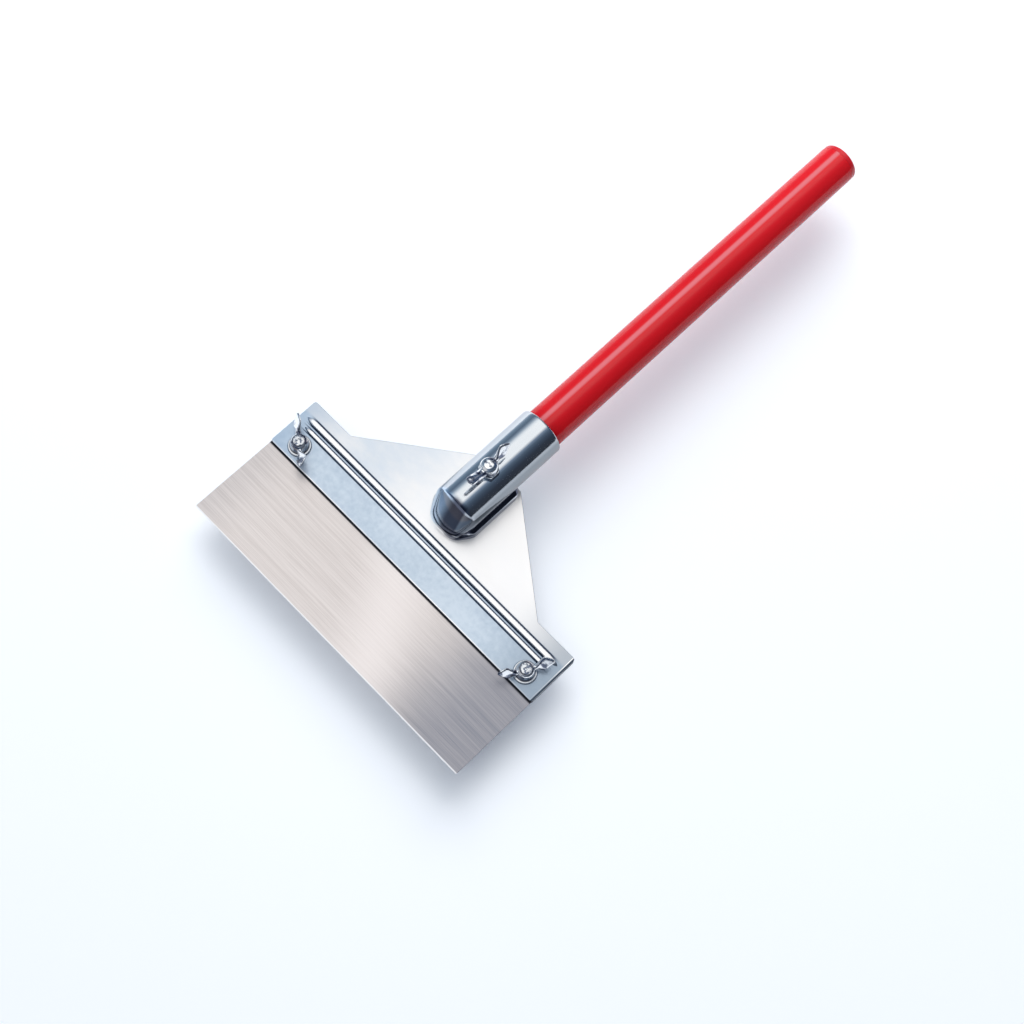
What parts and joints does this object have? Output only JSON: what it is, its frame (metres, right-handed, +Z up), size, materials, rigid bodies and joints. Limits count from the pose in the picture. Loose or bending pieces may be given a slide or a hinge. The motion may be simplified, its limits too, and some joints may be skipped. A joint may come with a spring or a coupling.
{
  "type": "floor scraper",
  "caption": "Wide flat blade clamped between two plates by wing nuts, with a short round handle held in a pressed socket by a wing screw.",
  "frame": {"origin": "below the middle of the tool's bounding box, on the surface it lies on", "axes": "+X along the blade, +Y from the cutting edge towards the end of the handle, +Z up from the clamp bar to the wing nuts"},
  "size_m": [0.25, 0.503, 0.0605],
  "materials": {
    "galvanised_sheet": "satin",
    "blade_steel": "brushed along its width",
    "zinc_fastener": "bright zinc",
    "bright_casting": "bright",
    "bright_plated_socket": "bright plated",
    "weld_metal": "rough",
    "red_coating": "gloss",
    "red_cap": "gloss",
    "core_timber": "sawn"
  },
  "bodies": {
    "head": {"holder_plate": "galvanised_sheet", "clamp_bar": "galvanised_sheet", "spacer_strip": "galvanised_sheet", "bolt_left": "zinc_fastener", "bolt_right": "zinc_fastener", "socket": "bright_plated_socket", "plug_welds": "weld_metal", "weld_nut": "bright_plated_socket"},
    "blade": {"blade": "blade_steel"},
    "washer_left": {"washer_left": "zinc_fastener"},
    "washer_right": {"washer_right": "zinc_fastener"},
    "wing_nut_left": {"wing_nut_left": "bright_casting"},
    "wing_nut_right": {"wing_nut_right": "bright_casting"},
    "wing_screw": {"wing_screw": "bright_casting"},
    "handle": {"handle_tube": "zinc_fastener", "handle_coat": "red_coating", "end_cap": "red_cap", "tube_core": "core_timber"}
  },
  "joints": [
    {"name": "blade_slide", "type": "slide", "parent": "head", "child": "blade", "axis": [0, -1, 0], "range_m": [0, 0.03]},
    {"name": "handle_slide", "type": "slide", "parent": "head", "child": "handle", "axis": [0, 1, 0], "range_m": [0, 0.07]},
    {"name": "washer_left_rise", "type": "slide", "parent": "head", "child": "washer_left", "axis": [0, 0, 1], "range_m": [0, 0.005]},
    {"name": "washer_right_rise", "type": "slide", "parent": "head", "child": "washer_right", "axis": [0, 0, 1], "range_m": [0, 0.005]},
    {"name": "wing_nut_left_turn", "type": "hinge", "parent": "washer_left", "child": "wing_nut_left", "pos_m": [-0.1084, -0.173, 0.0136], "axis": [0, 0, 1], "range_deg": [0, 1440]},
    {"name": "wing_nut_right_turn", "type": "hinge", "parent": "washer_right", "child": "wing_nut_right", "pos_m": [0.1084, -0.173, 0.0136], "axis": [0, 0, 1], "range_deg": [0, 1440]},
    {"name": "wing_screw_turn", "type": "hinge", "parent": "head", "child": "wing_screw", "pos_m": [0, -0.103, 0.0513], "axis": [0, 0, 1], "range_deg": [0, 1080]}
  ],
  "couplings": [
    {"joint": "wing_nut_left_turn", "follows": "washer_left_rise", "rad_per_m": 5026.5},
    {"joint": "wing_nut_right_turn", "follows": "washer_right_rise", "rad_per_m": 5026.5}
  ]
}
